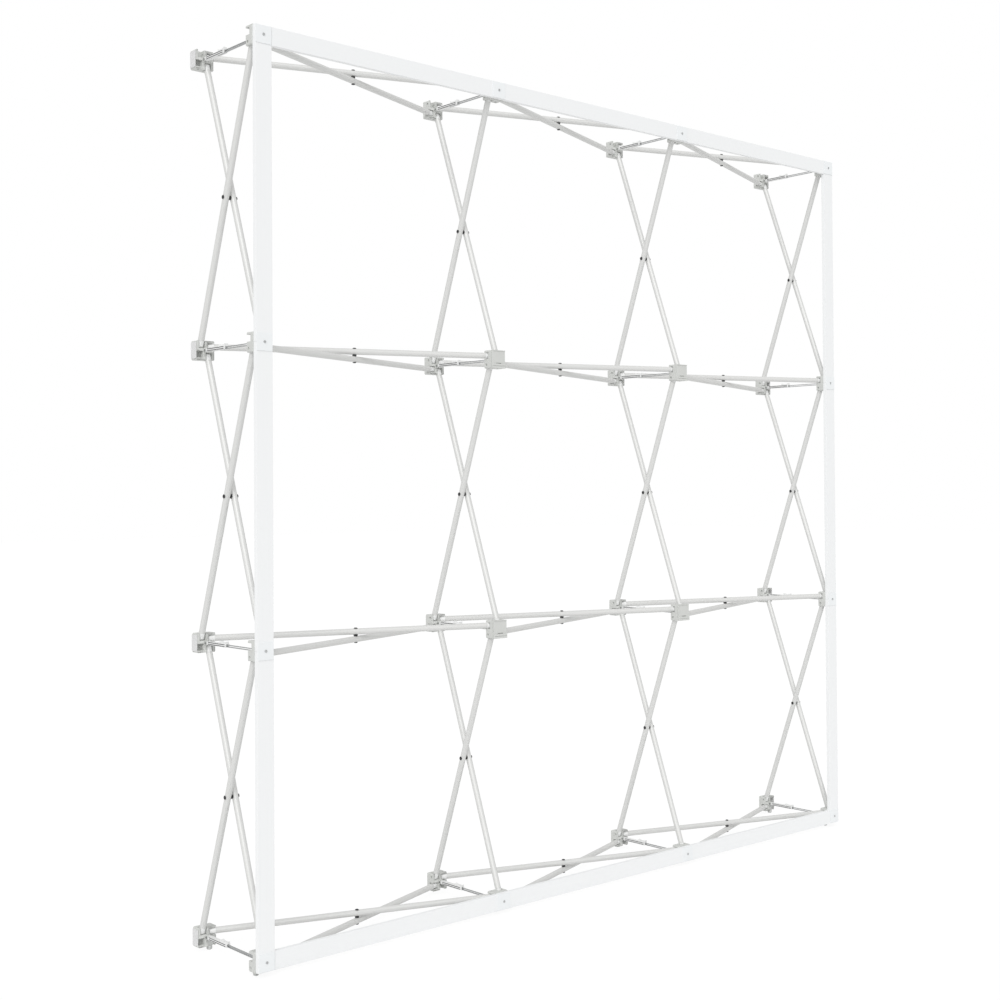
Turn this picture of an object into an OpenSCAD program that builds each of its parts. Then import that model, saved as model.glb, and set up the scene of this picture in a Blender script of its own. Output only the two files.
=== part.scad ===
// Frame of a pop up display backwall: a folding lattice of tubes between front
// and back hubs, held open by a lock in each hub pair, with flat bars round the
// front that carry the display fabric.
// X runs across the wall, Y from front to back, Z up from the floor.

/* [Lattice] */
// Distance from one hub centre to the next, across and up
pitch = 735; // [600:5:860]
// Depth between the outer faces of the front hubs and the back hubs
frame_depth = 296; // [270:2:330]

/* [Tubes] */
// Outer diameter of a scissor tube
tube_d = 16; // [14:0.5:18]
// Wall of a scissor tube
tube_wall = 1.2; // [0.8:0.1:2]
// Length of an end plug's shank inside its tube
plug_shank = 22; // [15:1:40]
// Distance from the pivot pin to the tube's cut end
tube_cutback = 11; // [10:0.5:16]

/* [Hubs] */
// Thickness of a hub, from its outer face to its inner face
hub_t = 27; // [26:0.5:32]
// Thickness of a hub's solid outer plate
hub_plate = 11; // [10:0.5:11.5]
// Thickness of the ears outside the sockets
hub_ear = 6; // [4.5:0.5:7]
// Distance from the hub's centre to each pivot pin
pin_reach = 15; // [14.5:0.25:17]
// Radius of the hub's corners
hub_corner = 3; // [1:0.5:4]
// Diameter of the pivot pins
pin_d = 4; // [3:0.5:5]
// Depth of a pin's blind end in the hub's web
pin_seat = 4.5; // [3:0.5:5.5]
// Diameter of the wider outer part of a pin's hole
pin_bore_d = 7; // [5.5:0.5:8]
// Depth of the wider outer part of a pin's hole
pin_bore_t = 3; // [1:0.5:3]

/* [Rivets] */
// Diameter of a scissor rivet
rivet_d = 5; // [4:0.5:6]
// Diameter of a rivet's head
rivet_head_d = 10; // [8:0.5:13]
// Height of a rivet's head
rivet_head_h = 2.2; // [1.6:0.2:4]
// Diameter of the washer between two crossing tubes
washer_d = 11; // [8:0.5:14]
// Thickness of the washer between two crossing tubes
washer_t = 3.8; // [3:0.2:5]

/* [Locks] */
// Length of a lock arm, from its pivot to its front end
arm_len = 98; // [90:1:110]
// Width of a lock arm
arm_w = 12; // [11:0.5:14]
// Height of a lock arm
arm_h = 8.5; // [8.5:0.25:10]
// Length of the finger tab on an arm
tab_len = 30; // [20:1:34]
// Height of the finger tab on an arm
tab_h = 6; // [4:0.5:8]
// Length of the arm's hollow front part, which covers the lock bar
cover_len = 36; // [30:1:42]
// Thickness of a lock bar
lock_bar_t = 4; // [3:0.25:4.5]
// Height of a lock bar
lock_bar_h = 6.5; // [6:0.25:7]
// Height of the long slot in a lock bar
bar_slot_h = 2.3; // [1.5:0.1:2.6]
// Length of the lock bar's end inside the arm
lock_overlap = 32; // [24:1:34]
// Thickness of each cheek of a hub's lock fork
cheek_t = 3; // [2:0.25:3.5]
// Height of a hub's lock fork
fork_h = 11; // [10:0.5:11.5]

/* [Front bars] */
// Width of a front bar
bar_w = 45; // [40:1:60]
// Depth of a front bar
bar_d = 12; // [8:0.5:16]
// Wall of a front bar
bar_wall = 1.5; // [1:0.1:2.5]
// Side of the square plates on the bars
plate_w = 43; // [36:1:45]
// Thickness of the square plates
plate_t = 1.6; // [1:0.1:3]
// Shank diameter of a plate screw
screw_d = 4; // [3:0.5:5]
// Head diameter of a plate screw
screw_head_d = 7; // [6:0.5:10]
// Head height of a plate screw
screw_head_h = 1.2; // [1:0.1:2.5]
// Width of the covers on the middle hubs
cover_w = 44; // [38:1:46]
// Thickness of the covers on the middle hubs
cover_t = 5; // [3:0.5:8]

/* [Side pads] */
// Depth of a hook pad on the outer side of a back hub
pad_w = 25; // [20:1:26]
// Height of a hook pad
pad_h = 41; // [30:1:46]
// Thickness of a hook pad
pad_t = 2; // [1:0.25:3]

/* [Feet] */
// Diameter of a foot pad
foot_d = 14; // [12:1:20]
// Height of a foot pad
foot_h = 10.5; // [6:0.5:16]

/* [Hidden] */
$fn = 48;
eps = 0.01;

columns = 4;
rows = 4;
last = columns - 1;
bottom = rows - 1;

// Clearances
slot_gap = 0.5;          // hub socket to tube, each side
tip_gap = 0.6;           // rounded plug tip to the hub's plate
tip_end_gap = 1.1;       // rounded plug tip to the hub's web
pin_gap = 0.05;          // pivot pin to its holes, radial
plug_gap = 0.05;         // plug shank to tube, radial
butt_gap = 0.1;          // plug shoulder to the tube's end
rivet_gap = 0.1;         // rivets and washers to the tubes
seam_gap = 0.2;          // between two bars end to end
lock_gap = 0.3;          // lock bar to the arm that covers it, each side
fork_gap = 0.2;          // fork cheek to the tongue between them
screw_gap = 0.2;         // plate screws to their holes, radial

// Sizes that follow from the driving ones
tip_r = tube_d / 2 - 0.1;                          // rounded end of a plug
plug_r = tube_d / 2 - 0.2;                         // round part of a plug
tube_offset = (tube_d + washer_t) / 2 + rivet_gap; // tube axis to scissor plane
slot_w = tube_d + 2 * slot_gap;
slot_in = tube_offset - slot_w / 2;                // socket's side next to the web
slot_out = tube_offset + slot_w / 2;               // socket's side next to the ear
slot_start = pin_reach - tip_r - tip_end_gap;      // web to socket, along the tube
hub_w = 2 * (slot_out + hub_ear);
pin_level = hub_plate + tip_r + tip_gap;           // pin behind the hub's outer face
pin_inset = pin_bore_t;                            // pin's end below the ear's face

span_side = pitch - 2 * pin_reach;                 // between a tube's pins, along
span_deep = frame_depth - 2 * pin_level;           // between a tube's pins, in depth
pin_to_pin = norm([span_side, span_deep]);
fold = atan2(span_deep, span_side);                // tube's angle to the wall
tube_len = pin_to_pin - 2 * tube_cutback;

fork_slot = lock_bar_t + 2 * fork_gap;
fork_w = fork_slot + 2 * cheek_t;
fork_pin = fork_h / 2;                             // lock pin above the inner face
lock_pin_head_d = pin_d + 2.5;
lock_pin_head_h = 1;
lock_span = frame_depth - 2 * (hub_t + fork_pin);  // between the two lock pins
lock_bar_len = lock_span - arm_len + lock_overlap; // front pin to the bar's free end
lock_roof = 1.4;                                   // arm's wall over the lock bar
lock_bar_top = arm_h / 2 - lock_roof - lock_gap;
bar_slot_from = fork_h / 2 + 3;                    // slot's start behind the front pin
bar_slot_to = lock_span - arm_len - 1;             // slot's end before the arm
groove_w = 2;                                      // two grooves along each side of an arm
groove_t = 2;
groove_z = arm_h / 2 - 2;                          // groove's middle above the arm's middle
hook_len = 3;
hook_h = 2;
hook_inset = 5;                                    // hook behind the arm's front end
hook_play = 0.6;                                   // between hook and notch, each side
tongue_end = fork_h / 2 + 1.5;                     // where the arm's full width begins
tab_w = arm_w - 2;
tab_hollow_r = 40;                                 // radius of the tab's finger hollow
tab_base = 3;                                      // tab's height in its hollow

centre_hole_d = screw_d + 2 * screw_gap;
centre_hole_depth = hub_plate + 4;
screw_grip = centre_hole_depth - 1;                // screw's length inside the hub
peg_h = centre_hole_depth - 2;                     // middle cover's peg

cover_h = hub_w;
cover_lip = 2;                                     // height of the cover's top lip
cover_ledge = 12;                                  // height of the cover's bottom ledge
cover_lip_out = 1.5;                               // how far they stand out
cover_slot_w = 18;                                 // slot above the ledge
cover_slot_h = 2.5;
cover_slot_t = 3;
ledge_groove = 1.4;                                // groove along the ledge

front_stack = bar_d + plate_t + screw_head_h;      // all that is before the front hubs
scissor_y = front_stack / 2;                       // keeps the origin at mid depth
front_y = scissor_y - frame_depth / 2;             // outer face of the front hubs
back_y = scissor_y + frame_depth / 2;              // outer face of the back hubs
foot_shank_w = slot_w - 2 * slot_gap;
foot_shank_t = 10;
foot_top = tip_r;                                  // shank's end above the pin
foot_round = 3;                                    // rounding of a pad's bottom edge

front = -1;
back = 1;
slots = [0, 1, 2, 3];                              // up, left, down, right on a back hub
up = 0;
left = 1;
down = 2;

function col_x(c) = (c - last / 2) * pitch;
function row_z(r) = foot_h + hub_w / 2 + (bottom - r) * pitch;
function is_corner(c, r) = (c == 0 || c == last) && (r == 0 || r == bottom);
function is_edge(c, r) = c == 0 || c == last || r == 0 || r == bottom;
function has_foot(c, r, k) = k == down && r == bottom && (c == 0 || c == last);
function has_side_tube(side, c, k) = ((k == left) == (side == back)) ? c > 0 : c < last;
function has_tube(side, c, r, k) =
    k == up ? r > 0 : k == down ? r < bottom : has_side_tube(side, c, k);

// ---- Shared shapes ----

// Points of a square of side w, centred, with its corners rounded to radius r
function rounded_points(w, r, steps = 4) = [
    for (q = [0:3], i = [0:steps])
        let (a = 90 * q + 90 * i / steps, sx = (q == 0 || q == 3) ? 1 : -1, sy = q < 2 ? 1 : -1)
        [sx * (w / 2 - r) + r * cos(a), sy * (w / 2 - r) + r * sin(a)]
];

module rounded_block(w, r, h) {
    linear_extrude(h) polygon(rounded_points(w, r));
}

// A cylinder along X, centred
module x_cylinder(d, length) {
    rotate([0, 90, 0]) cylinder(d = d, h = length, center = true);
}

// Places a piece at a hub: its Z then points from the outer face to the inner face
module at_hub(side, c, r) {
    translate([col_x(c), side == back ? back_y : front_y, row_z(r)])
        rotate([0, 0, side == back ? 0 : 180])
            rotate([90, 0, 0]) children();
}

// Places a tube's piece in a horizontal pair: X along the tube, Z along the rivet
module at_row_tube(r, c, side) {
    translate([(col_x(c) + col_x(c + 1)) / 2, scissor_y, row_z(r) + side * tube_offset])
        rotate([0, 0, -side * fold]) children();
}

// Places a tube's piece in an upright pair: X along the tube, Z along the rivet
module at_column_tube(c, r, side) {
    translate([col_x(c) + side * tube_offset, scissor_y, (row_z(r) + row_z(r + 1)) / 2])
        rotate([-side * fold, 0, 0]) rotate([0, 90, 0]) children();
}

// ---- Hubs ----

// One socket, open outwards and inwards, with the hole of its pin.
// The other three are this one turned by quarter turns.
module hub_socket() {
    translate([-slot_out, slot_start, hub_plate])
        cube([slot_w, hub_w, hub_t]);
    translate([-hub_w / 2 - eps, pin_reach, pin_level])
        rotate([0, 90, 0])
            cylinder(d = pin_d + 2 * pin_gap, h = hub_w / 2 + eps - slot_in + pin_seat);
    translate([-hub_w / 2 - eps, pin_reach, pin_level])
        rotate([0, 90, 0]) cylinder(d = pin_bore_d, h = pin_bore_t + eps);
}

// The two cheeks that hold the lock's pin
module lock_fork() {
    for (s = [-1, 1])
        translate([s * (fork_slot + cheek_t) / 2, 0, hub_t]) {
            translate([0, 0, fork_pin]) x_cylinder(fork_h, cheek_t);
            translate([-cheek_t / 2, -fork_h / 2, -eps]) cube([cheek_t, fork_h, fork_pin + eps]);
        }
}

module hub() {
    difference() {
        union() {
            rounded_block(hub_w, hub_corner, hub_t);
            lock_fork();
        }
        for (k = slots) rotate([0, 0, 90 * k]) hub_socket();
        translate([0, 0, hub_t + fork_pin]) x_cylinder(pin_d + 2 * pin_gap, hub_w);
        translate([0, 0, -eps]) cylinder(d = centre_hole_d, h = centre_hole_depth + eps);
    }
}

module hub_row(side, r) {
    color("gainsboro")
        for (c = [0:last]) at_hub(side, c, r) hub();
}

// ---- Tubes, plugs, pins and rivets ----

module tube() {
    difference() {
        x_cylinder(tube_d, tube_len);
        x_cylinder(tube_d - 2 * tube_wall, tube_len + 2);
        cylinder(d = rivet_d + 2 * rivet_gap, h = tube_d + 2, center = true);
    }
}

module row_tubes(r, side) {
    color("silver")
        for (c = [0:last - 1]) at_row_tube(r, c, side) tube();
}

module column_tubes(c, side) {
    color("silver")
        for (r = [0:bottom - 1]) at_column_tube(c, r, side) tube();
}

// A plug: its rounded tip turns on the pin at the origin, its shank points along X
module plug() {
    shoulder = tube_cutback - butt_gap;
    difference() {
        union() {
            translate([(shoulder - tip_r) / 2, 0, 0]) x_cylinder(2 * plug_r, shoulder + tip_r);
            translate([shoulder + plug_shank / 2, 0, 0])
                x_cylinder(tube_d - 2 * (tube_wall + plug_gap), plug_shank);
        }
        difference() {
            translate([-tube_d, -tube_d, -tube_d]) cube([tube_d, 2 * tube_d, 2 * tube_d]);
            cylinder(r = tip_r, h = 3 * tube_d, center = true);
        }
        cylinder(d = pin_d + 2 * pin_gap, h = 2 * tube_d, center = true);
    }
}

module plug_pair() {
    for (turn = [0, 180])
        rotate([0, 0, turn]) translate([-pin_to_pin / 2, 0, 0]) plug();
}

module row_tube_plugs() {
    color("silver")
        for (r = [0:bottom], c = [0:last - 1], side = [-1, 1]) at_row_tube(r, c, side) plug_pair();
}

module column_tube_plugs() {
    color("silver")
        for (c = [0:last], r = [0:bottom - 1], side = [-1, 1]) at_column_tube(c, r, side) plug_pair();
}

module hub_pins() {
    color("dimgray")
        for (side = [front, back], c = [0:last], r = [0:bottom], k = slots)
            if (has_tube(side, c, r, k) || has_foot(c, r, k))
                at_hub(side, c, r) rotate([0, 0, 90 * k])
                    translate([-hub_w / 2 + pin_inset, pin_reach, pin_level])
                        rotate([0, 90, 0])
                            cylinder(d = pin_d, h = hub_w / 2 - slot_in + pin_seat - pin_inset - 0.3);
}

// A rivet's head, which narrows in two steps above its straight rim
module rivet_head() {
    shoulder_d = 0.78 * rivet_head_d;
    cylinder(d = rivet_head_d, h = 0.35 * rivet_head_h);
    translate([0, 0, 0.35 * rivet_head_h])
        cylinder(d1 = rivet_head_d, d2 = shoulder_d, h = 0.4 * rivet_head_h);
    translate([0, 0, 0.75 * rivet_head_h])
        cylinder(d1 = shoulder_d, d2 = 0.4 * rivet_head_d, h = 0.25 * rivet_head_h);
}

// A rivet along Z, through both tubes of a pair
module rivet() {
    grip = 2 * (tube_offset + tube_d / 2 + rivet_gap);
    cylinder(d = rivet_d, h = grip + rivet_head_h, center = true);
    for (turn = [0, 180])
        rotate([turn, 0, 0]) translate([0, 0, grip / 2]) rivet_head();
}

module washer() {
    difference() {
        cylinder(d = washer_d, h = washer_t, center = true);
        cylinder(d = rivet_d + 2 * rivet_gap, h = washer_t + 1, center = true);
    }
}

// Places a piece at every crossing, its Z along the rivet
module at_crossings() {
    for (r = [0:bottom], c = [0:last - 1])
        translate([(col_x(c) + col_x(c + 1)) / 2, scissor_y, row_z(r)]) children();
    for (c = [0:last], r = [0:bottom - 1])
        translate([col_x(c), scissor_y, (row_z(r) + row_z(r + 1)) / 2]) rotate([0, 90, 0]) children();
}

module scissor_rivets() {
    color("black") at_crossings() rivet();
}

module scissor_washers() {
    color("black") at_crossings() washer();
}

// ---- Front bars, plates and covers ----

// Screw holes in whatever lies before the front hubs
module screw_holes() {
    for (c = [0:last], r = [0:bottom])
        if (is_edge(c, r))
            translate([col_x(c), front_y + 1, row_z(r)])
                rotate([90, 0, 0]) cylinder(d = centre_hole_d, h = front_stack + 2);
}

// A hollow bar along Z from z0 to z1, its back face on the hubs
module upright_bar(c, z0, z1) {
    translate([col_x(c) - bar_w / 2, front_y - bar_d, z0])
        difference() {
            cube([bar_w, bar_d, z1 - z0]);
            translate([bar_wall, bar_wall, -1])
                cube([bar_w - 2 * bar_wall, bar_d - 2 * bar_wall, z1 - z0 + 2]);
        }
}

// A hollow bar along X from x0 to x1, its back face on the hubs
module level_bar(r, x0, x1) {
    translate([x0, front_y - bar_d, row_z(r) - bar_w / 2])
        difference() {
            cube([x1 - x0, bar_d, bar_w]);
            translate([-1, bar_wall, bar_wall])
                cube([x1 - x0 + 2, bar_d - 2 * bar_wall, bar_w - 2 * bar_wall]);
        }
}

module side_bars(c) {
    color("white")
        difference() {
            for (r = [0:bottom - 1])
                upright_bar(
                    c,
                    r == bottom - 1 ? row_z(bottom) - bar_w / 2 : row_z(r + 1) + seam_gap / 2,
                    r == 0 ? row_z(0) + bar_w / 2 : row_z(r) - seam_gap / 2);
            screw_holes();
        }
}

module cross_bars(r) {
    color("white")
        difference() {
            for (c = [0:last - 1])
                level_bar(
                    r,
                    col_x(c) + (c == 0 ? bar_w / 2 + seam_gap : seam_gap / 2),
                    col_x(c + 1) - (c == last - 1 ? bar_w / 2 + seam_gap : seam_gap / 2));
            screw_holes();
        }
}

module plate(c, r) {
    translate([col_x(c), front_y - bar_d, row_z(r)])
        rotate([90, 0, 0])
            difference() {
                rounded_block(plate_w, hub_corner / 2, plate_t);
                translate([0, 0, -1]) cylinder(d = centre_hole_d, h = plate_t + 2);
            }
}

module corner_plates() {
    color("whitesmoke")
        for (c = [0:last], r = [0:bottom])
            if (is_corner(c, r)) plate(c, r);
}

module edge_plates() {
    color("whitesmoke")
        for (c = [0:last], r = [0:bottom])
            if (is_edge(c, r) && !is_corner(c, r)) plate(c, r);
}

// A cover on a middle hub: a lip at its top, a grooved ledge at its foot with a slot above
// it, and a peg behind
module middle_cover() {
    difference() {
        translate([-cover_w / 2, -cover_h / 2, 0]) cube([cover_w, cover_h, cover_t]);
        translate([-cover_slot_w / 2, cover_ledge - cover_h / 2, cover_t - cover_slot_t])
            cube([cover_slot_w, cover_slot_h, cover_slot_t + 1]);
    }
    translate([-cover_w / 2, cover_h / 2 - cover_lip, cover_t - eps])
        cube([cover_w, cover_lip, cover_lip_out]);
    difference() {
        translate([-cover_w / 2, -cover_h / 2, cover_t - eps])
            cube([cover_w, cover_ledge, 2 * cover_lip_out]);
        translate([-cover_w / 2 - 1, (cover_ledge - ledge_groove - cover_h) / 2, cover_t + cover_lip_out])
            cube([cover_w + 2, ledge_groove, cover_lip_out + 1]);
    }
    translate([0, 0, -peg_h]) cylinder(d = screw_d, h = peg_h + eps);
}

module middle_covers() {
    color("gainsboro")
        for (c = [0:last], r = [0:bottom])
            if (!is_edge(c, r))
                translate([col_x(c), front_y, row_z(r)]) rotate([90, 0, 0]) middle_cover();
}

// A screw along Z with a crossed recess in its head
module plate_screw() {
    difference() {
        cylinder(d = screw_head_d, h = screw_head_h);
        for (turn = [0, 90])
            rotate([0, 0, turn])
                translate([-screw_head_d / 3, -0.5, screw_head_h - 0.6])
                    cube([screw_head_d / 1.5, 1, 1]);
    }
    translate([0, 0, -bar_d - plate_t - screw_grip])
        cylinder(d = screw_d, h = bar_d + plate_t + screw_grip + eps);
}

module plate_screws() {
    color("dimgray")
        for (c = [0:last], r = [0:bottom])
            if (is_edge(c, r))
                translate([col_x(c), front_y - bar_d - plate_t, row_z(r)])
                    rotate([90, 0, 0]) plate_screw();
}

// Pads of hook tape on the outer sides of the outer back hubs, over their empty sockets
module side_pads() {
    color("whitesmoke")
        for (c = [0, last], r = [0:bottom])
            translate([col_x(c) + (c == 0 ? -1 : 1) * hub_w / 2, back_y - hub_t / 2, row_z(r)])
                rotate([0, c == 0 ? -90 : 90, 0])
                    translate([-pad_h / 2, -pad_w / 2, 0]) cube([pad_h, pad_w, pad_t]);
}

// ---- Locks ----

// Places a lock's piece at a hub's lock pin, in the directions of the whole frame
module at_lock(side, c, r) {
    translate([col_x(c), scissor_y + side * lock_span / 2, row_z(r)]) children();
}

// The arm reaches forwards from its pin, so towards -Y
module lock_arm_body() {
    // tongue between the fork's cheeks
    x_cylinder(arm_h, lock_bar_t);
    translate([-lock_bar_t / 2, -tongue_end - eps, -arm_h / 2])
        cube([lock_bar_t, tongue_end + eps, arm_h]);
    difference() {
        translate([-arm_w / 2, -arm_len, -arm_h / 2]) cube([arm_w, arm_len - tongue_end, arm_h]);
        translate([-lock_bar_t / 2 - lock_gap, -arm_len - 1, -arm_h / 2 - 1])
            cube([lock_bar_t + 2 * lock_gap, cover_len + 1, arm_h + 1 - lock_roof]);
        for (side = [-1, 1], level = [-1, 1])
            translate([
                side * (arm_w / 2 - groove_t / 2 + eps) - groove_t / 2,
                -arm_len + 4,
                level * groove_z - groove_w / 2])
                cube([groove_t + eps, arm_len - tongue_end - 8, groove_w]);
    }
    // hook under the roof
    translate([-lock_bar_t / 2 - lock_gap, -arm_len + hook_inset, arm_h / 2 - lock_roof - hook_h])
        cube([lock_bar_t + 2 * lock_gap, hook_len, hook_h + eps]);
    // finger tab, hollowed along its top
    difference() {
        translate([-tab_w / 2, -arm_len, arm_h / 2 - eps]) cube([tab_w, tab_len, tab_h]);
        translate([0, -arm_len + tab_len / 2, arm_h / 2 + tab_base + tab_hollow_r])
            x_cylinder(2 * tab_hollow_r, arm_w);
    }
}

module lock_arm(c, r) {
    color("white")
        at_lock(back, c, r)
            difference() {
                lock_arm_body();
                x_cylinder(pin_d + 2 * pin_gap, 2 * arm_w);
            }
}

// A bar from the front fork to under the arm, with a long slot between the two and the
// notch that the hook holds
module lock_bar() {
    foot = fork_pin - fork_gap;
    notch_y = lock_span - arm_len + hook_inset - hook_play;
    difference() {
        translate([-lock_bar_t / 2, -foot, lock_bar_top - lock_bar_h])
            cube([lock_bar_t, foot + lock_bar_len, lock_bar_h]);
        x_cylinder(pin_d + 2 * pin_gap, 2 * arm_w);
        translate([-arm_w / 2, notch_y, lock_bar_top - hook_h - hook_play + lock_gap])
            cube([arm_w, hook_len + 2 * hook_play, hook_h + hook_play]);
        translate([-arm_w / 2, bar_slot_from, lock_bar_top - (lock_bar_h + bar_slot_h) / 2])
            cube([arm_w, bar_slot_to - bar_slot_from, bar_slot_h]);
    }
}

module lock_bar_row(r) {
    color("darkgray")
        for (c = [0:last]) at_lock(front, c, r) lock_bar();
}

module lock_pins() {
    head_at = (fork_w + lock_pin_head_h) / 2 + pin_gap;
    color("dimgray")
        for (side = [front, back], c = [0:last], r = [0:bottom])
            at_lock(side, c, r) {
                x_cylinder(pin_d, 2 * head_at);
                for (s = [-1, 1])
                    translate([s * head_at, 0, 0]) x_cylinder(lock_pin_head_d, lock_pin_head_h);
            }
}

// ---- Feet ----

// A foot in the empty lower socket of a corner hub, held by that socket's pin
module foot() {
    pin_h = row_z(bottom) - pin_reach;
    difference() {
        union() {
            rotate_extrude()
                polygon(concat(
                    [[0, 0]],
                    [for (i = [0:6])
                        [foot_d / 2 - foot_round * (1 - sin(15 * i)), foot_round * (1 - cos(15 * i))]],
                    [[foot_d / 2, foot_h], [0, foot_h]]));
            translate([-foot_shank_w / 2, -foot_shank_t / 2, foot_h - eps])
                cube([foot_shank_w, foot_shank_t, pin_h + foot_top - foot_h]);
        }
        translate([0, 0, pin_h]) x_cylinder(pin_d + 2 * pin_gap, foot_shank_w + 2);
    }
}

module feet() {
    color("white")
        for (side = [front, back], c = [0, last])
            translate([col_x(c) + side * tube_offset, scissor_y + side * span_deep / 2, 0]) foot();
}

// ---- Assembly ----

for (r = [0:bottom]) {
    hub_row(back, r);
    hub_row(front, r);
    row_tubes(r, 1);
    row_tubes(r, -1);
    lock_bar_row(r);
}
for (c = [0:last]) {
    column_tubes(c, -1);
    column_tubes(c, 1);
}
row_tube_plugs();
column_tube_plugs();
hub_pins();
scissor_rivets();
scissor_washers();
cross_bars(0);  // top_bars
cross_bars(bottom);  // bottom_bars
side_bars(0);  // left_bars
side_bars(last);  // right_bars
corner_plates();
edge_plates();
middle_covers();
plate_screws();
side_pads();
lock_pins();
feet();
for (r = [0:bottom], c = [0:last])
    lock_arm(c, r);
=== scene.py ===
"""Dresses the frame of a pop up display backwall and stands it in a pale studio.

X runs across the wall, Y from front to back and Z up from the floor, in metres.
"""

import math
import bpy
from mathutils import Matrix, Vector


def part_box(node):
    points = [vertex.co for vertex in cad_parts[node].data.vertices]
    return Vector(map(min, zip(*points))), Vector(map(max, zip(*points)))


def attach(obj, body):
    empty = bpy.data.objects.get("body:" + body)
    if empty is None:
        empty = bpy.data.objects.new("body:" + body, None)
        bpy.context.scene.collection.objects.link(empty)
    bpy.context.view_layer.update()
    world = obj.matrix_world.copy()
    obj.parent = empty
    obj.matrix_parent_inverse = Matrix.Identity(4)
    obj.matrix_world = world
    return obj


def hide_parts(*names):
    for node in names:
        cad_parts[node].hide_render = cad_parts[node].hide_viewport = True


bl_info = {
    "name": "Pop up display backwall frame",
    "version": (1, 0, 0),
    "blender": (4, 5, 0),
    "location": "3D View > Sidebar > Backwall",
    "description": "Finishes the hubs, tubes, bars and locks of a folding display frame",
    "category": "Object",
}

import bmesh
import bpy
from mathutils import Matrix, Vector
from mathutils.geometry import delaunay_2d_cdt

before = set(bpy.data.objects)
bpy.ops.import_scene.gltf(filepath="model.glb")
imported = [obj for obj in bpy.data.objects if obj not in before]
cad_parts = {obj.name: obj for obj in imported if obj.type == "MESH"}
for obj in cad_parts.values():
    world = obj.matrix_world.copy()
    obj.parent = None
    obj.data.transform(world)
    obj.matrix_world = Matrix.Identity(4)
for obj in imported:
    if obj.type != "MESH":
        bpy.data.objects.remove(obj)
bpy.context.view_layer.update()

ROWS = (1, 2, 3, 4)
COLUMNS = (1, 2, 3, 4)
STANDING_BODY = "frame"
MERGE_DISTANCE = 2e-6
SAME_PLANE = math.radians(0.1)
FLAT_ANGLE = math.radians(0.8)
EDGE_ANGLE = math.radians(32)
SHARP_ANGLE = math.radians(38)
SHORT_EDGE = 0.0005  # shorter edges are not rounded
HUB_REACH = 0.08  # more than a hub's width, less than the way to the next hub
FLOOR_FACING = 0.99  # least share of Y in the normal of a socket's floor
GROOVE_DEPTHS = (0.0006, 0.0024)  # in from a lock arm's side, round its grooves' faces
GROOVE_HEIGHTS = (0.0005, 0.008)  # up from a lock arm's lowest point
GROOVE_FACING = 0.5  # most share of Y in the normal of a face along a groove
OUTLINE_SCALE = 1000  # outlines are filled in millimetres
OUTLINE_WELD = 1e-5
STUDIO_REACH = 30
LAMP_DISTANCE = 5
SURFACE_OUTPUTS = (
    ("Colour", "NodeSocketColor"),
    ("Roughness", "NodeSocketFloat"),
    ("Normal", "NodeSocketVector"),
)


# ---- Settings ----


class StageSettings(bpy.types.PropertyGroup):
    """Camera, lights and floor"""

    camera_place: bpy.props.FloatVectorProperty(
        name="Camera place",
        description="Where the camera stands",
        size=3,
        subtype="TRANSLATION",
        unit="LENGTH",
        default=(-2.93606, -3.18496, 1.14859),
    )
    camera_turn: bpy.props.FloatVectorProperty(
        name="Camera turn",
        description="Heading, tilt above level and roll of the camera",
        size=3,
        subtype="EULER",
        unit="ROTATION",
        default=(math.radians(42.956), math.radians(-0.867), math.radians(-0.390)),
    )
    lens: bpy.props.FloatProperty(
        name="Lens", description="Focal length in millimetres", default=52.555, min=10, max=200
    )
    shift: bpy.props.FloatVectorProperty(
        name="Shift",
        description="Lens shift across and up, as a share of the picture",
        size=2,
        default=(-0.0697, -0.0326),
    )
    ambient: bpy.props.FloatProperty(
        name="Ambient light", description="Strength of the even light", default=0.74, min=0, max=2
    )
    key_strength: bpy.props.FloatProperty(
        name="Key light", description="Strength of the soft light from above", default=1.38, min=0
    )
    key_direction: bpy.props.FloatVectorProperty(
        name="Key direction", description="From the object towards the light", size=3,
        subtype="DIRECTION", default=(-0.60, -0.55, 0.58),
    )
    key_spread: bpy.props.FloatProperty(
        name="Key spread", description="Angle the light takes up, which softens its shadows",
        default=math.radians(50), unit="ROTATION",
    )
    floor_shade: bpy.props.FloatProperty(
        name="Floor shade", description="Lightness of the floor in the object's light",
        default=0.87, min=0, max=1,
    )
    floor_white: bpy.props.FloatProperty(
        name="Floor white", description="Share of plain white in the floor that the camera sees",
        default=0.88, min=0, max=1,
    )
    floor_glow: bpy.props.FloatProperty(
        name="Floor glow", description="Strength of the plain white", default=1.04, min=0, max=2,
    )


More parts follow.
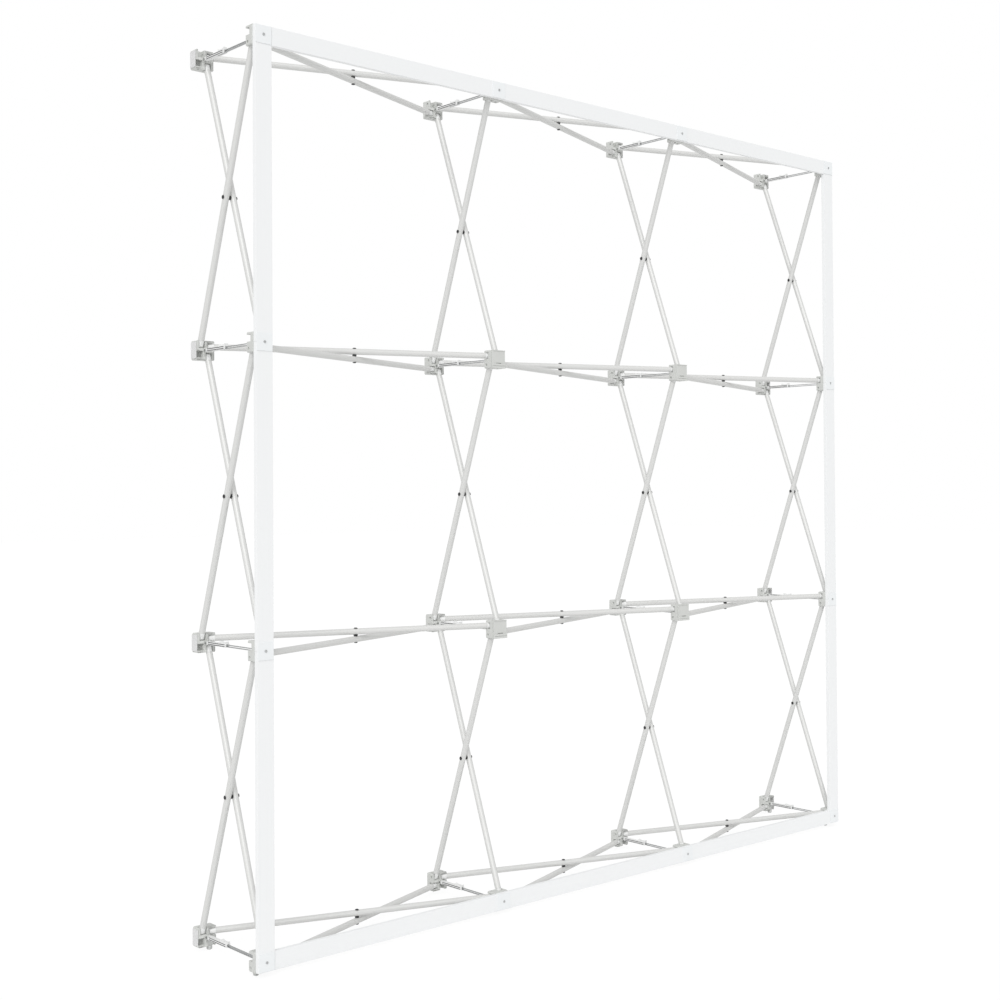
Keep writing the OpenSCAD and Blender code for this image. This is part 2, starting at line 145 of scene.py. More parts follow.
class FinishSettings(bpy.types.PropertyGroup):
    """Colours of the pieces, and the lie of the tubes' streaks"""

    hub_colour: bpy.props.FloatVectorProperty(
        name="Hub plastic", description="Colour of the hubs", subtype="COLOR", size=3,
        default=(0.60, 0.61, 0.59), min=0, max=1,
    )
    tube_colour: bpy.props.FloatVectorProperty(
        name="Tube metal", description="Colour of the tubes", subtype="COLOR", size=3,
        default=(0.71, 0.712, 0.70), min=0, max=1,
    )
    plug_colour: bpy.props.FloatVectorProperty(
        name="Plug plastic", description="Colour of the plugs in the tubes' ends",
        subtype="COLOR", size=3, default=(0.84, 0.845, 0.84), min=0, max=1,
    )
    tube_fold: bpy.props.FloatProperty(
        name="Tube fold",
        description="Angle between a tube and the wall, which its streaks follow",
        default=math.radians(20.2), unit="ROTATION",
    )
    bar_colour: bpy.props.FloatVectorProperty(
        name="Bar paint", description="Colour of the front bars", subtype="COLOR", size=3,
        default=(0.86, 0.87, 0.875), min=0, max=1,
    )
    plate_colour: bpy.props.FloatVectorProperty(
        name="Plate plastic", description="Colour of the square plates", subtype="COLOR", size=3,
        default=(0.84, 0.86, 0.87), min=0, max=1,
    )
    cover_colour: bpy.props.FloatVectorProperty(
        name="Cover plastic", description="Colour of the covers on the middle hubs",
        subtype="COLOR", size=3, default=(0.62, 0.63, 0.61), min=0, max=1,
    )
    pad_colour: bpy.props.FloatVectorProperty(
        name="Hook tape", description="Colour of the pads on the outer hubs",
        subtype="COLOR", size=3, default=(0.88, 0.88, 0.88), min=0, max=1,
    )
    lock_colour: bpy.props.FloatVectorProperty(
        name="Lock plastic", description="Colour of the lock arms", subtype="COLOR", size=3,
        default=(0.80, 0.805, 0.80), min=0, max=1,
    )
    # The lock arms' grooves get a dark grey that is painted shade, standing in for the shade that
    # falls in them.
    groove_shade_colour: bpy.props.FloatVectorProperty(
        name="Lock groove shade", description="Colour of the painted shade in the lock arms' grooves",
        subtype="COLOR", size=3, default=(0.2, 0.2, 0.205), min=0, max=1,
    )
    black_colour: bpy.props.FloatVectorProperty(
        name="Black plastic", description="Colour of rivet heads and washers",
        subtype="COLOR", size=3, default=(0.015, 0.015, 0.016), min=0, max=1,
    )
    steel_colour: bpy.props.FloatVectorProperty(
        name="Steel", description="Colour of pins and lock bars",
        subtype="COLOR", size=3, default=(0.46, 0.47, 0.47), min=0, max=1,
    )
    screw_colour: bpy.props.FloatVectorProperty(
        name="Screws", description="Colour of the screws in the plates", subtype="COLOR", size=3,
        default=(0.6, 0.61, 0.61), min=0, max=1,
    )
    foot_colour: bpy.props.FloatVectorProperty(
        name="Feet", description="Colour of the feet", subtype="COLOR", size=3,
        default=(0.6, 0.61, 0.6), min=0, max=1,
    )


class EdgeSettings(bpy.types.PropertyGroup):
    """Rounding of the pieces' edges"""

    hub_edge: bpy.props.FloatProperty(
        name="Hub edges", description="Rounding of a hub's edges", default=0.0006,
        min=0.0001, max=0.002, unit="LENGTH",
    )
    tube_edge: bpy.props.FloatProperty(
        name="Tube ends", description="Rounding of a tube's cut ends", default=0.0002,
        min=0.0001, max=0.0005, unit="LENGTH",
    )
    pin_edge: bpy.props.FloatProperty(
        name="Pin ends", description="Rounding of pins, washers and screws", default=0.00015,
        min=0.0001, max=0.0004, unit="LENGTH",
    )
    bar_edge: bpy.props.FloatProperty(
        name="Bar edges", description="Rounding of the front bars' edges", default=0.0005,
        min=0.0001, max=0.002, unit="LENGTH",
    )
    plate_edge: bpy.props.FloatProperty(
        name="Plate edges", description="Rounding of plates and covers", default=0.0003,
        min=0.0001, max=0.001, unit="LENGTH",
    )
    lock_edge: bpy.props.FloatProperty(
        name="Lock edges", description="Rounding of the lock arms' edges", default=0.0005,
        min=0.0001, max=0.001, unit="LENGTH",
    )


def settings(group):
    """One of this file's groups of settings, by its name on the scene."""
    return getattr(bpy.context.scene, group)


# ---- Materials ----


def add_node(tree, kind, place, **values):
    """Adds a shader node at a place in its tree and sets its properties."""
    node = tree.nodes.new(kind)
    node.location = place
    for name, value in values.items():
        setattr(node, name, value)
    return node


def group_sockets(tree, inputs, outputs):
    """Gives a node group its named sockets, from (name, kind, default) rows."""
    for name, kind, default in inputs:
        socket = tree.interface.new_socket(name, in_out="INPUT", socket_type=kind)
        if default is not None:
            socket.default_value = default
    for name, kind in outputs:
        tree.interface.new_socket(name, in_out="OUTPUT", socket_type=kind)


def moulded_group():
    """Clouded colour, uneven gloss and a fine spark-eroded grain, as on moulded plastic."""
    name = "Moulded surface"
    if name in bpy.data.node_groups:
        return bpy.data.node_groups[name]
    tree = bpy.data.node_groups.new(name, "ShaderNodeTree")
    group_sockets(
        tree,
        [
            ("Coordinates", "NodeSocketVector", None),
            ("Colour", "NodeSocketColor", (0.8, 0.8, 0.8, 1)),
            ("Clouding", "NodeSocketFloat", 0.08),
            ("Gloss", "NodeSocketFloat", 0.45),
            ("Grain depth", "NodeSocketFloat", 0.25),
        ],
        SURFACE_OUTPUTS,
    )
    entry = add_node(tree, "NodeGroupInput", (-900, 0))
    end = add_node(tree, "NodeGroupOutput", (600, 0))
    cloud = add_node(tree, "ShaderNodeTexNoise", (-650, 200))
    cloud.inputs["Scale"].default_value = 38
    cloud.inputs["Detail"].default_value = 3
    grain = add_node(tree, "ShaderNodeTexNoise", (-650, -200))
    grain.inputs["Scale"].default_value = 2600
    grain.inputs["Detail"].default_value = 2
    shade = add_node(tree, "ShaderNodeMapRange", (-400, 250))
    shade.inputs["From Min"].default_value = 0.3
    shade.inputs["From Max"].default_value = 0.7
    amount = add_node(tree, "ShaderNodeMath", (-200, 250), operation="MULTIPLY")
    darker = add_node(tree, "ShaderNodeMix", (50, 200), data_type="RGBA", blend_type="MULTIPLY")
    darker.inputs["B"].default_value = (0.62, 0.62, 0.6, 1)
    gloss = add_node(tree, "ShaderNodeMath", (50, -20), operation="MULTIPLY_ADD")
    gloss.inputs[1].default_value = 0.16
    bump = add_node(tree, "ShaderNodeBump", (50, -250))
    bump.inputs["Distance"].default_value = 0.00004
    link = tree.links.new
    link(entry.outputs["Coordinates"], cloud.inputs["Vector"])
    link(entry.outputs["Coordinates"], grain.inputs["Vector"])
    link(cloud.outputs["Fac"], shade.inputs["Value"])
    link(shade.outputs["Result"], amount.inputs[0])
    link(entry.outputs["Clouding"], amount.inputs[1])
    link(amount.outputs["Value"], darker.inputs["Factor"])
    link(entry.outputs["Colour"], darker.inputs["A"])
    link(cloud.outputs["Fac"], gloss.inputs[0])
    link(entry.outputs["Gloss"], gloss.inputs[2])
    link(grain.outputs["Fac"], bump.inputs["Height"])
    link(entry.outputs["Grain depth"], bump.inputs["Strength"])
    link(darker.outputs["Result"], end.inputs["Colour"])
    link(gloss.outputs["Value"], end.inputs["Roughness"])
    link(bump.outputs["Normal"], end.inputs["Normal"])
    return tree


def drawn_group():
    """Fine lines along X, as on a drawn or rolled metal section."""
    name = "Drawn metal"
    if name in bpy.data.node_groups:
        return bpy.data.node_groups[name]
    tree = bpy.data.node_groups.new(name, "ShaderNodeTree")
    group_sockets(
        tree,
        [
            ("Coordinates", "NodeSocketVector", None),
            ("Colour", "NodeSocketColor", (0.8, 0.8, 0.8, 1)),
            ("Streaks", "NodeSocketFloat", 0.1),
            ("Gloss", "NodeSocketFloat", 0.35),
            ("Line depth", "NodeSocketFloat", 0.2),
        ],
        SURFACE_OUTPUTS,
    )
    entry = add_node(tree, "NodeGroupInput", (-1100, 0))
    end = add_node(tree, "NodeGroupOutput", (600, 0))
    stretch = add_node(tree, "ShaderNodeMapping", (-900, 0))
    stretch.inputs["Scale"].default_value = (4, 900, 900)
    lines = add_node(tree, "ShaderNodeTexNoise", (-650, 100))
    lines.inputs["Scale"].default_value = 1
    lines.inputs["Detail"].default_value = 4
    patches = add_node(tree, "ShaderNodeTexNoise", (-650, -200))
    patches.inputs["Scale"].default_value = 9
    shade = add_node(tree, "ShaderNodeMapRange", (-400, 250))
    shade.inputs["From Min"].default_value = 0.3
    shade.inputs["From Max"].default_value = 0.7
    amount = add_node(tree, "ShaderNodeMath", (-200, 250), operation="MULTIPLY")
    darker = add_node(tree, "ShaderNodeMix", (50, 200), data_type="RGBA", blend_type="MULTIPLY")
    darker.inputs["B"].default_value = (0.5, 0.5, 0.5, 1)
    gloss = add_node(tree, "ShaderNodeMath", (50, -20), operation="MULTIPLY_ADD")
    gloss.inputs[1].default_value = 0.12
    bump = add_node(tree, "ShaderNodeBump", (50, -250))
    bump.inputs["Distance"].default_value = 0.00002
    link = tree.links.new
    link(entry.outputs["Coordinates"], stretch.inputs["Vector"])
    link(stretch.outputs["Vector"], lines.inputs["Vector"])
    link(entry.outputs["Coordinates"], patches.inputs["Vector"])
    link(lines.outputs["Fac"], shade.inputs["Value"])
    link(shade.outputs["Result"], amount.inputs[0])
    link(entry.outputs["Streaks"], amount.inputs[1])
    link(amount.outputs["Value"], darker.inputs["Factor"])
    link(entry.outputs["Colour"], darker.inputs["A"])
    link(patches.outputs["Fac"], gloss.inputs[0])
    link(entry.outputs["Gloss"], gloss.inputs[2])
    link(lines.outputs["Fac"], bump.inputs["Height"])
    link(entry.outputs["Line depth"], bump.inputs["Strength"])
    link(darker.outputs["Result"], end.inputs["Colour"])
    link(gloss.outputs["Value"], end.inputs["Roughness"])
    link(bump.outputs["Normal"], end.inputs["Normal"])
    return tree


def hook_group():
    """Rows of small hooks on a woven ground, as on hook tape that faces along X, with the ground
    between the hooks darkened as painted shade.
    """
    name = "Hook tape"
    if name in bpy.data.node_groups:
        return bpy.data.node_groups[name]
    tree = bpy.data.node_groups.new(name, "ShaderNodeTree")
    group_sockets(
        tree,
        [
            ("Coordinates", "NodeSocketVector", None),
            ("Colour", "NodeSocketColor", (0.8, 0.8, 0.8, 1)),
            ("Ground shade", "NodeSocketFloat", 0.5),
            ("Hook height", "NodeSocketFloat", 1.0),
        ],
        SURFACE_OUTPUTS,
    )
    entry = add_node(tree, "NodeGroupInput", (-1100, 0))
    end = add_node(tree, "NodeGroupOutput", (600, 0))
    rows = add_node(tree, "ShaderNodeMapping", (-900, 0))
    rows.inputs["Scale"].default_value = (0, 420, 420)
    hooks = add_node(tree, "ShaderNodeTexVoronoi", (-650, 150))
    hooks.inputs["Scale"].default_value = 1
    hooks.inputs["Randomness"].default_value = 0.12
    weave = add_node(tree, "ShaderNodeTexNoise", (-650, -200))
    weave.inputs["Scale"].default_value = 1800
    shape = add_node(tree, "ShaderNodeMapRange", (-400, 150), interpolation_type="SMOOTHSTEP")
    shape.inputs["From Min"].default_value = 0.22
    shape.inputs["From Max"].default_value = 0.4
    amount = add_node(tree, "ShaderNodeMath", (-200, 250), operation="MULTIPLY")
    # Darkening the ground between the hooks is painted shade.
    darker = add_node(tree, "ShaderNodeMix", (50, 200), data_type="RGBA", blend_type="MULTIPLY")
    darker.inputs["B"].default_value = (0.3, 0.3, 0.31, 1)
    height = add_node(tree, "ShaderNodeMath", (-200, -100), operation="SUBTRACT")
    gloss = add_node(tree, "ShaderNodeMapRange", (50, -20))
    gloss.inputs["To Min"].default_value = 0.5
    gloss.inputs["To Max"].default_value = 0.9
    bump = add_node(tree, "ShaderNodeBump", (50, -250))
    bump.inputs["Distance"].default_value = 0.0003
    link = tree.links.new
    link(entry.outputs["Coordinates"], rows.inputs["Vector"])
    link(rows.outputs["Vector"], hooks.inputs["Vector"])
    link(entry.outputs["Coordinates"], weave.inputs["Vector"])
    link(hooks.outputs["Distance"], shape.inputs["Value"])
    link(shape.outputs["Result"], amount.inputs[0])
    link(entry.outputs["Ground shade"], amount.inputs[1])
    link(amount.outputs["Value"], darker.inputs["Factor"])
    link(entry.outputs["Colour"], darker.inputs["A"])
    link(shape.outputs["Result"], gloss.inputs["Value"])
    link(weave.outputs["Fac"], height.inputs[0])
    link(shape.outputs["Result"], height.inputs[1])
    link(height.outputs["Value"], bump.inputs["Height"])
    link(entry.outputs["Hook height"], bump.inputs["Strength"])
    link(darker.outputs["Result"], end.inputs["Colour"])
    link(gloss.outputs["Result"], end.inputs["Roughness"])
    link(bump.outputs["Normal"], end.inputs["Normal"])
    return tree


def surface_material(name, group, colour, values, metallic=0.0, turn=(0, 0, 0)):
    """A material whose colour, roughness and normal come from one of the surface groups."""
    if name in bpy.data.materials:
        return bpy.data.materials[name]
    material = bpy.data.materials.new(name)
    material.use_nodes = True
    tree = material.node_tree
    tree.nodes.clear()
    output = add_node(tree, "ShaderNodeOutputMaterial", (500, 0))
    shader = add_node(tree, "ShaderNodeBsdfPrincipled", (200, 0))
    shader.inputs["Metallic"].default_value = metallic
    surface = add_node(tree, "ShaderNodeGroup", (-100, 0), node_tree=group)
    surface.inputs["Colour"].default_value = (*colour, 1)
    for socket, value in values.items():
        surface.inputs[socket].default_value = value
    mapping = add_node(tree, "ShaderNodeMapping", (-350, 0))
    mapping.inputs["Rotation"].default_value = turn
    place = add_node(tree, "ShaderNodeTexCoord", (-600, 0))
    link = tree.links.new
    link(place.outputs["Object"], mapping.inputs["Vector"])
    link(mapping.outputs["Vector"], surface.inputs["Coordinates"])
    link(surface.outputs["Colour"], shader.inputs["Base Color"])
    link(surface.outputs["Roughness"], shader.inputs["Roughness"])
    link(surface.outputs["Normal"], shader.inputs["Normal"])
    link(shader.outputs["BSDF"], output.inputs["Surface"])
    return material


def plastic(name, colour, clouding=0.08, gloss=0.4, grain=0.25):
    """A moulded plastic."""
    values = {"Clouding": clouding, "Gloss": gloss, "Grain depth": grain}
    return surface_material(name, moulded_group(), colour, values)


def metal(name, colour, streaks=0.12, gloss=0.3, lines=0.2, metallic=1.0, turn=(0, 0, 0)):
    """A drawn or rolled metal, or paint on one, whose lines run along X until it is turned."""
    values = {"Streaks": streaks, "Gloss": gloss, "Line depth": lines}
    return surface_material(name, drawn_group(), colour, values, metallic, turn)


# ---- Shapes ----


def merged_copy(nodes):
    """A copy of CAD nodes as a bmesh, with one face for each flat side where that is possible."""
    shape = bmesh.new()
    for node in nodes:
        shape.from_mesh(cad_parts[node].data)
    bmesh.ops.remove_doubles(shape, verts=shape.verts, dist=MERGE_DISTANCE)
    bmesh.ops.dissolve_limit(
        shape, angle_limit=FLAT_ANGLE, verts=shape.verts, edges=shape.edges
    )
    return shape


def round_edges(shape, radius, shortest=0.0, inner_corners=True):
    """Rounds the sharp edges, or only the outer ones, that are longer than the shortest."""
    edges = [
        edge
        for edge in shape.edges
        if edge.is_manifold
        and edge.calc_face_angle() > EDGE_ANGLE
        and edge.calc_length() > shortest
        and (inner_corners or edge.is_convex)
    ]
    bmesh.ops.bevel(
        shape, geom=edges, offset=radius, offset_type="OFFSET", segments=2,
        profile=0.5, affect="EDGES", clamp_overlap=False, material=-1,
    )


def softened_copy(nodes, radius, shortest=0.0, inner_corners=True):
    """A merged copy of CAD nodes with its edges rounded."""
    shape = merged_copy(nodes)
    round_edges(shape, radius, shortest, inner_corners)
    return shape


def flat_area(start):
    """A face and all faces that continue it in the same plane."""
    area = [start]
    seen = {start}
    for face in area:
        for edge in face.edges:
            if not edge.is_manifold or edge.calc_face_angle() > SAME_PLANE:
                continue
            for other in edge.link_faces:
                if other not in seen:
                    seen.add(other)
                    area.append(other)
    return area


def open_floors(shape):
    """Takes out the floors of the hubs' sockets, round which walls stand, and lists them."""
    shape.normal_update()
    floors = []
    done = set()
    for start in shape.faces:
        if start in done or abs(start.normal.y) < FLOOR_FACING:
            continue
        area = flat_area(start)
        done.update(area)
        walls = [
            edge for face in area for edge in face.edges
            if edge.is_manifold and edge.calc_face_angle() > EDGE_ANGLE and not edge.is_convex
        ]
        if walls and len(area) > 1:
            floors.append((area, start.normal.copy(), start.verts[0].co.copy()))
    for area, _, _ in floors:
        bmesh.ops.delete(shape, geom=area, context="FACES_KEEP_BOUNDARY")
    return [(normal, point) for _, normal, point in floors]


def is_inside(point, corners, lines):
    """Whether a point lies between the outlines, by counting the lines to one side of it."""
    inside = False
    for first, second in lines:
        a, b = corners[first], corners[second]
        if (a.y > point.y) != (b.y > point.y):
            if point.x < a.x + (point.y - a.y) * (b.x - a.x) / (b.y - a.y):
                inside = not inside
    return inside


def close_floors(shape, floors):
    """Fills the open floors again between their outlines."""
    shape.faces.index_update()
    hubs = []
    for normal, point in floors:
        if all((point - other).length > HUB_REACH for _, other in hubs):
            hubs.append((normal, point))
    for normal, point in hubs:
        outline = [
            edge for edge in shape.edges
            if edge.is_boundary and (edge.verts[0].co - point).length < HUB_REACH
        ]
        verts = list(dict.fromkeys(vert for edge in outline for vert in edge.verts))
        place = {vert: number for number, vert in enumerate(verts)}
        corners = [
            Vector((vert.co.x - point.x, vert.co.z - point.z)) * OUTLINE_SCALE for vert in verts
        ]
        lines = [(place[edge.verts[0]], place[edge.verts[1]]) for edge in outline]
        places, _, triangles, sources, _, _ = delaunay_2d_cdt(
            corners, lines, [], 0, OUTLINE_WELD
        )
        if any(not source for source in sources):
            raise RuntimeError("the outlines of a hub's floor cross")
        for triangle in triangles:
            middle = sum((places[number] for number in triangle), Vector((0, 0))) / 3
            if is_inside(middle, corners, lines):
                face = shape.faces.new([verts[sources[number][0]] for number in triangle])
                face.index = len(shape.faces)
                face.normal_update()
                if face.normal.dot(normal) < 0:
                    face.normal_flip()
    # New faces can take the places of deleted ones in any order, so they are sorted to the end.
    shape.faces.sort()


def paint_groove_shade(shape, node):
    """Gives the sides and floor of a lock arm's grooves the piece's second material, a dark grey
    that is painted shade in the grooves.
    """
    low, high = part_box(node)
    middle = (low[0] + high[0]) / 2
    half = (high[0] - low[0]) / 2
    shape.normal_update()
    for face in shape.faces:
        place = face.calc_center_median()
        depth = half - abs(place.x - middle)
        height = place.z - low[2]
        if (
            GROOVE_DEPTHS[0] < depth < GROOVE_DEPTHS[1]
            and GROOVE_HEIGHTS[0] < height < GROOVE_HEIGHTS[1]
            and abs(face.normal.y) < GROOVE_FACING
        ):
            face.material_index = 1


def add_piece(name, shape, material, nodes, body=STANDING_BODY):
    """Makes a bmesh a finished piece that stands for the CAD nodes and rides on the body."""
    mesh = bpy.data.meshes.new(name)
    shape.to_mesh(mesh)
    shape.free()
    if not mesh.polygons:
        raise RuntimeError(f"{name} has no faces")
    mesh.shade_smooth()
    mesh.set_sharp_from_angle(angle=SHARP_ANGLE)
    mesh.materials.append(material)
    piece = bpy.data.objects.new(name, mesh)
    bpy.context.scene.collection.objects.link(piece)
    normals = piece.modifiers.new("Even normals", "WEIGHTED_NORMAL")
    normals.keep_sharp = True
    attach(piece, body)
    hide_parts(*nodes)
    return piece


# ---- Pieces ----


class BACKWALL_OT_hubs(bpy.types.Operator):
    """Makes the moulded hubs of the lattice, one row at a time"""

    bl_idname = "backwall.hubs"
    bl_label = "Hubs"

    def execute(self, context):
        finish = settings("backwall_finish")
        edge = settings("backwall_edges").hub_edge
        material = plastic("Hub plastic", finish.hub_colour)
        for side in ("back", "front"):
            for row in ROWS:
                node = f"{side}_hubs_row_{row}"
                shape = merged_copy([node])
                floors = open_floors(shape)
                round_edges(shape, edge, SHORT_EDGE, inner_corners=False)
                close_floors(shape, floors)
                add_piece(f"{side}_hub_mouldings_{row}", shape, material, [node])
        return {"FINISHED"}


class BACKWALL_OT_tubes(bpy.types.Operator):
    """Makes the drawn tubes of the scissor pairs, with streaks along each tube"""

    bl_idname = "backwall.tubes"
    bl_label = "Tubes"

    def execute(self, context):
        finish = settings("backwall_finish")
        edge = settings("backwall_edges").tube_edge
        fold = finish.tube_fold
        quarter = math.pi / 2
        kinds = (
            ("upper_tubes_row", ROWS, (0, 0, fold)),
            ("lower_tubes_row", ROWS, (0, 0, -fold)),
            ("left_tubes_column", COLUMNS, (-fold, quarter, 0)),
            ("right_tubes_column", COLUMNS, (fold, quarter, 0)),
        )
        for kind, numbers, turn in kinds:
            material = metal(
                f"Tube metal {kind}", finish.tube_colour, gloss=0.42, metallic=0.2, turn=turn
            )
            for number in numbers:
                node = f"{kind}_{number}"
                shape = softened_copy([node], edge, SHORT_EDGE)
                add_piece(f"drawn_{node}", shape, material, [node])
        return {"FINISHED"}


class BACKWALL_OT_plugs(bpy.types.Operator):
    """Makes the moulded end plugs of all tubes"""

    bl_idname = "backwall.plugs"
    bl_label = "Plugs"

    def execute(self, context):
        colour = settings("backwall_finish").plug_colour
        material = plastic("Plug plastic", colour, gloss=0.35)
        for node in ("row_tube_plugs", "column_tube_plugs"):
            shape = softened_copy([node], settings("backwall_edges").tube_edge, shortest=0.0003)
            add_piece(f"moulded_{node}", shape, material, [node])
        return {"FINISHED"}


class BACKWALL_OT_pins(bpy.types.Operator):
    """Makes the pivot pins of the tubes and locks"""

    bl_idname = "backwall.pins"
    bl_label = "Pins"

    def execute(self, context):
        edge = settings("backwall_edges").pin_edge
        material = metal("Pin steel", settings("backwall_finish").steel_colour, gloss=0.25)
        for node in ("hub_pins", "lock_pins"):
            add_piece(f"turned_{node}", softened_copy([node], edge), material, [node])
        return {"FINISHED"}


class BACKWALL_OT_rivets(bpy.types.Operator):
    """Makes the black rivets and washers where two tubes cross"""

    bl_idname = "backwall.rivets"
    bl_label = "Rivets"

    def execute(self, context):
        edge = settings("backwall_edges").pin_edge
        colour = settings("backwall_finish").black_colour
        material = plastic("Black plastic", colour, clouding=0.2, gloss=0.3)
        for node, slot in (("scissor_rivets", "rivet_black"), ("scissor_washers", "washer_black")):
            add_piece(f"moulded_{node}", softened_copy([node], 2 * edge), material, [node])
        return {"FINISHED"}


class BACKWALL_OT_bars(bpy.types.Operator):
    """Makes the flat painted bars round the front"""

    bl_idname = "backwall.bars"
    bl_label = "Front bars"

    def execute(self, context):
        colour = settings("backwall_finish").bar_colour
        edge = settings("backwall_edges").bar_edge
        for node in ("top_bars", "bottom_bars", "left_bars", "right_bars"):
            level = node in ("top_bars", "bottom_bars")
            turn = (0, 0, 0) if level else (0, math.pi / 2, 0)
            material = metal(
                f"Bar paint {'level' if level else 'upright'}", colour,
                streaks=0.03, gloss=0.34, lines=0.06, metallic=0.0, turn=turn,
            )
            shape = softened_copy([node], edge, shortest=0.0006)
            add_piece(f"painted_{node}", shape, material, [node])
        return {"FINISHED"}


class BACKWALL_OT_plates(bpy.types.Operator):
    """Makes the square plates, the covers of the middle hubs and the screws"""

    bl_idname = "backwall.plates"
    bl_label = "Plates and covers"

    def execute(self, context):
        finish = settings("backwall_finish")
        edges = settings("backwall_edges")
        plates = plastic("Plate plastic", finish.plate_colour, clouding=0.04, gloss=0.36)
        covers = plastic("Cover plastic", finish.cover_colour)
        # The hook tape's darker ground between its hooks is painted shade.
        pads = surface_material("Hook tape", hook_group(), finish.pad_colour, {"Ground shade": 0.35})
        steel = metal("Screw steel", finish.screw_colour, gloss=0.3)
        rows = (
            ("corner_plates", plates, "plate_white", edges.plate_edge, SHORT_EDGE),
            ("edge_plates", plates, "plate_white", edges.plate_edge, SHORT_EDGE),
            ("middle_covers", covers, "cover_grey", edges.plate_edge, SHORT_EDGE),
            ("side_pads", pads, "pad_white", edges.plate_edge, SHORT_EDGE),
            ("plate_screws", steel, "screw_dark", edges.pin_edge, 0.0),
        )
        for node, material, slot, edge, shortest in rows:
            shape = softened_copy([node], edge, shortest)
            add_piece(f"finished_{node}", shape, material, [node])
        return {"FINISHED"}


class BACKWALL_OT_locks(bpy.types.Operator):
    """Makes the lock bars and the hinged lock arms"""

    bl_idname = "backwall.locks"
    bl_label = "Locks"

    def execute(self, context):
        finish = settings("backwall_finish")
        edges = settings("backwall_edges")
        steel = metal(
            "Lock steel", finish.steel_colour, gloss=0.3, turn=(0, 0, math.pi / 2)
        )
        for row in ROWS:
            node = f"lock_bars_row_{row}"
            shape = softened_copy([node], edges.plate_edge, SHORT_EDGE)
            add_piece(f"rolled_{node}", shape, steel, [node])
        material = plastic("Lock plastic", finish.lock_colour, gloss=0.34)
        # The dark grey of the grooves is painted shade, not a real inlay.
        grooves = plastic("Lock groove painted shade", finish.groove_shade_colour, gloss=0.5)
        first_node = "lock_arm_1_1"
        first = softened_copy([first_node], edges.lock_edge, SHORT_EDGE)
        paint_groove_shade(first, first_node)
        for row in ROWS:
            for column in COLUMNS:
                node = f"lock_arm_{row}_{column}"
                shape = first.copy()
                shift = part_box(node)[0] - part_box(first_node)[0]
                bmesh.ops.translate(shape, verts=shape.verts, vec=shift)
                arm = add_piece(
                    f"moulded_{node}", shape, material, [node],
                    f"lock_{row}_{column}",
                )
                # The second material paints shade into the grooves.
                arm.data.materials.append(grooves)
        first.free()
        return {"FINISHED"}


class BACKWALL_OT_feet(bpy.types.Operator):
    """Makes the feet under the corner hubs"""

    bl_idname = "backwall.feet"
    bl_label = "Feet"

    def execute(self, context):
        edge = settings("backwall_edges").plate_edge
        colour = settings("backwall_finish").foot_colour
        material = plastic("Foot plastic", colour, gloss=0.5, grain=0.4)
        shape = softened_copy(["feet"], edge, shortest=0.0008, inner_corners=False)
        add_piece("moulded_feet", shape, material, ["feet"])
        return {"FINISHED"}


# ---- Stage ----


def white_to_the_eye(tree, lit):
    """A mix of a lit shader and a second one, which only the camera sees."""
    path = add_node(tree, "ShaderNodeLightPath", (-300, 300))
    mix = add_node(tree, "ShaderNodeMixShader", (0, 0))
    tree.links.new(path.outputs["Is Camera Ray"], mix.inputs["Fac"])
    tree.links.new(lit.outputs[0], mix.inputs[1])
    return mix


def soft_light(name, towards, strength, spread):
    """Adds a wide, distant light that shines from the given direction."""
    data = bpy.data.lights.new(name, "SUN")
    data.energy = strength
    data.angle = spread
    lamp = bpy.data.objects.new(name, data)
    lamp.rotation_euler = Vector(towards).to_track_quat("Z", "Y").to_euler()
    lamp.location = Vector(towards) * LAMP_DISTANCE
    bpy.context.scene.collection.objects.link(lamp)


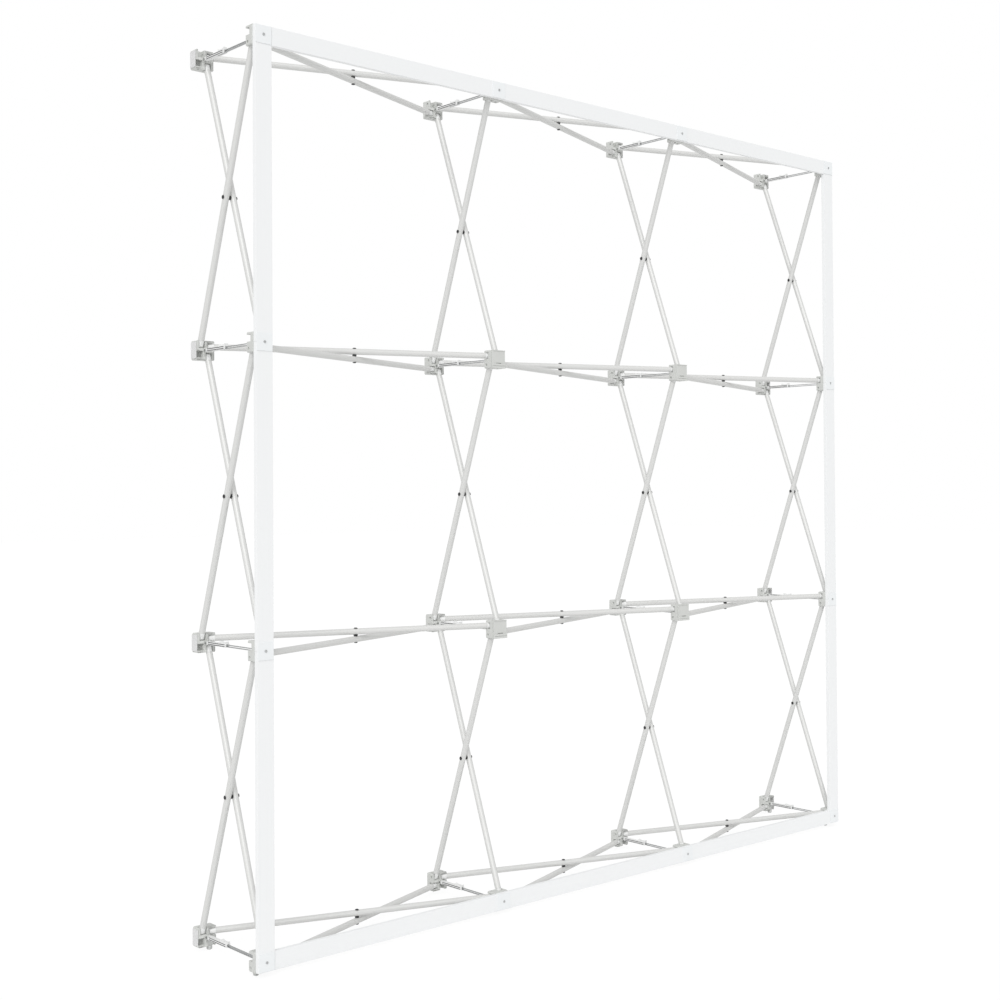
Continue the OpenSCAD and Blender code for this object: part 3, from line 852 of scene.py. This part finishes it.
class BACKWALL_OT_stage(bpy.types.Operator):
    """Sets up the camera, the lights, the white background and the floor"""

    bl_idname = "backwall.stage"
    bl_label = "Stage"

    def execute(self, context):
        stage = settings("backwall_stage")
        self.place_camera(stage)
        self.light_scene(stage)
        self.lay_floor(stage)
        return {"FINISHED"}

    def place_camera(self, stage):
        """Turns the camera from its heading, tilt and roll."""
        heading, tilt, roll = stage.camera_turn
        level_share = math.cos(tilt)
        ahead = Vector(
            (math.sin(heading) * level_share, math.cos(heading) * level_share, -math.sin(tilt))
        )
        level = ahead.cross(Vector((0, 0, 1))).normalized()
        upright = level.cross(ahead)
        right = level * math.cos(roll) + upright * math.sin(roll)
        up = right.cross(ahead)
        turn = Matrix((right, up, -ahead)).transposed()
        data = bpy.data.cameras.new("Camera")
        data.sensor_width = 36
        data.lens = stage.lens
        data.shift_x, data.shift_y = stage.shift
        data.clip_end = 60
        camera = bpy.data.objects.new("Camera", data)
        camera.matrix_world = Matrix.Translation(stage.camera_place) @ turn.to_4x4()
        bpy.context.scene.collection.objects.link(camera)
        bpy.context.scene.camera = camera

    def light_scene(self, stage):
        """Lights the object evenly before a white background, with one soft light."""
        world = bpy.data.worlds.new("Studio")
        bpy.context.scene.world = world
        world.use_nodes = True
        tree = world.node_tree
        tree.nodes.clear()
        ambient = add_node(tree, "ShaderNodeBackground", (-300, 100))
        ambient.inputs["Strength"].default_value = stage.ambient
        ambient.inputs["Color"].default_value = (1, 1, 1, 1)
        white = add_node(tree, "ShaderNodeBackground", (-300, -100))
        mix = white_to_the_eye(tree, ambient)
        output = add_node(tree, "ShaderNodeOutputWorld", (250, 0))
        white.inputs["Color"].default_value = (1, 1, 1, 1)
        tree.links.new(white.outputs[0], mix.inputs[2])
        tree.links.new(mix.outputs[0], output.inputs["Surface"])
        soft_light("Key", stage.key_direction, stage.key_strength, stage.key_spread)

    def lay_floor(self, stage):
        """Lays a floor that bounces light up and shows nearly white."""
        shape = bmesh.new()
        bmesh.ops.create_grid(shape, x_segments=1, y_segments=1, size=STUDIO_REACH)
        mesh = bpy.data.meshes.new("studio_floor")
        shape.to_mesh(mesh)
        shape.free()
        floor = bpy.data.objects.new("studio_floor", mesh)
        bpy.context.scene.collection.objects.link(floor)
        material = bpy.data.materials.new("Floor")
        material.use_nodes = True
        tree = material.node_tree
        tree.nodes.clear()
        diffuse = add_node(tree, "ShaderNodeBsdfDiffuse", (-600, 0))
        diffuse.inputs["Color"].default_value = (*[stage.floor_shade] * 3, 1)
        glow = add_node(tree, "ShaderNodeEmission", (-600, -200))
        glow.inputs["Color"].default_value = (1, 1, 1, 1)
        glow.inputs["Strength"].default_value = stage.floor_glow
        shown = add_node(tree, "ShaderNodeMixShader", (-300, -100))
        shown.inputs["Fac"].default_value = stage.floor_white
        output = add_node(tree, "ShaderNodeOutputMaterial", (250, 0))
        mix = white_to_the_eye(tree, diffuse)
        tree.links.new(diffuse.outputs[0], shown.inputs[1])
        tree.links.new(glow.outputs[0], shown.inputs[2])
        tree.links.new(shown.outputs[0], mix.inputs[2])
        tree.links.new(mix.outputs[0], output.inputs["Surface"])
        mesh.materials.append(material)


class BACKWALL_PT_panel(bpy.types.Panel):
    """Lists the steps that build the dressed frame"""

    bl_label = "Backwall frame"
    bl_idname = "BACKWALL_PT_panel"
    bl_space_type = "VIEW_3D"
    bl_region_type = "UI"
    bl_category = "Backwall"

    def draw(self, context):
        for operator in OPERATORS:
            self.layout.operator(operator.bl_idname)


OPERATORS = (
    BACKWALL_OT_stage,
    BACKWALL_OT_hubs,
    BACKWALL_OT_tubes,
    BACKWALL_OT_plugs,
    BACKWALL_OT_pins,
    BACKWALL_OT_rivets,
    BACKWALL_OT_bars,
    BACKWALL_OT_plates,
    BACKWALL_OT_locks,
    BACKWALL_OT_feet,
)
SETTINGS = {
    "backwall_stage": StageSettings,
    "backwall_finish": FinishSettings,
    "backwall_edges": EdgeSettings,
}


def register():
    """Makes the settings, operators and panel known to Blender."""
    for group in SETTINGS.values():
        bpy.utils.register_class(group)
    for name, group in SETTINGS.items():
        setattr(bpy.types.Scene, name, bpy.props.PointerProperty(type=group))
    for operator in OPERATORS:
        bpy.utils.register_class(operator)
    bpy.utils.register_class(BACKWALL_PT_panel)


def unregister():
    """Takes the settings, operators and panel out again."""
    bpy.utils.unregister_class(BACKWALL_PT_panel)
    for operator in reversed(OPERATORS):
        bpy.utils.unregister_class(operator)
    for name, group in SETTINGS.items():
        delattr(bpy.types.Scene, name)
        bpy.utils.unregister_class(group)


def main():
    """Builds the stage and all pieces."""
    register()
    bpy.context.scene.view_settings.view_transform = "Standard"
    for operator in OPERATORS:
        area, step = operator.bl_idname.split(".")
        getattr(getattr(bpy.ops, area), step)()


if __name__ == "__main__":
    main()
